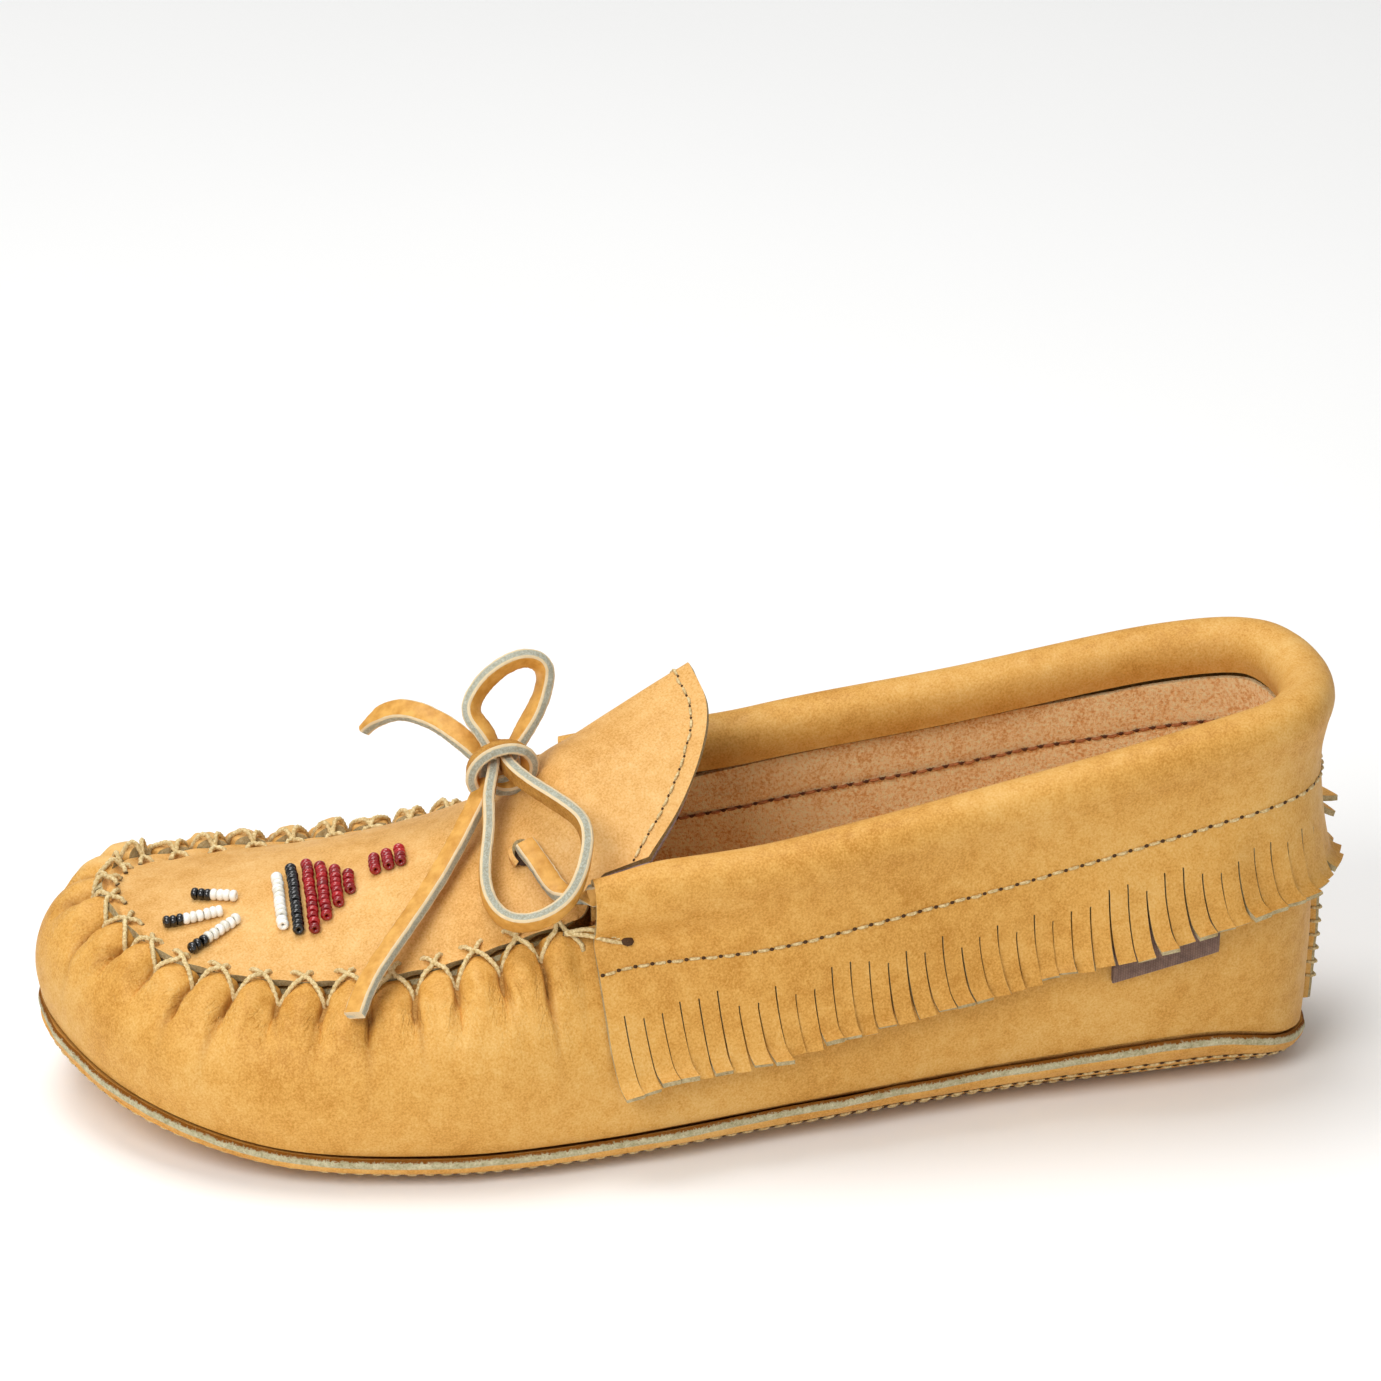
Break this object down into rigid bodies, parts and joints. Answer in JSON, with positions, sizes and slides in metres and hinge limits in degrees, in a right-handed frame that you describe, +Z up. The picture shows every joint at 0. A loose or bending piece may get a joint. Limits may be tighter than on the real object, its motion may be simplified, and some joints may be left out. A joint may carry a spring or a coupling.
{
  "type": "moccasin",
  "caption": "Left soft leather moccasin with a puckered hand-laced plug, fringed rolled collar, bow-tied thong, beadwork and a stitched leather sole.",
  "frame": {"origin": "on the floor, under the middle of the shoe's box", "axes": "+Y towards the heel, the toe points along -Y; +X towards the wearer's left, the shoe's outer side; +Z up"},
  "size_m": [0.0957, 0.2559, 0.0861],
  "materials": {
    "sole_leather": "matte",
    "upper_leather": "matte",
    "plug_leather": "matte",
    "lace_leather": "matte",
    "suede": "napped",
    "tongue_lining": "matte",
    "thread": "matte",
    "foam": "matte",
    "board": "matte",
    "woven": "matte",
    "bead_white": "glossy",
    "bead_black": "glossy",
    "bead_red": "glossy"
  },
  "bodies": {
    "shoe": {"outsole": "sole_leather", "outsole_thread_outer": "thread", "outsole_thread_inner": "thread", "insole_foam": "foam", "insole_sock": "suede", "wrap_upper": "upper_leather", "heel_seam_thread": "thread", "heel_counter": "board", "quarter_lining": "suede", "lining_thread": "thread", "plug": "plug_leather", "plug_thread": "thread", "collar_fringe": "upper_leather", "collar_thread": "thread", "side_tab": "woven", "lace_in_collar": "lace_leather", "lace_knot": "lace_leather", "lace_loop_near": "lace_leather", "lace_loop_upper": "lace_leather", "lace_tail_near": "lace_leather", "lace_tail_far": "lace_leather", "bead_bar_outer": "bead_white", "bead_bar_middle": "bead_white", "bead_bar_inner": "bead_white", "bead_step_white": "bead_white", "bead_step_black": "bead_black", "bead_step_red": "bead_red", "bead_cluster": "bead_red"},
    "tongue_flap": {"tongue": "plug_leather", "tongue_lining": "tongue_lining", "tongue_thread": "thread"}
  },
  "joints": [
    {"name": "tongue_fold", "type": "hinge", "parent": "shoe", "child": "tongue_flap", "pos_m": [0, -0.0246, 0.0705], "axis": [1, 0, 0], "range_deg": [0, 50]}
  ]
}
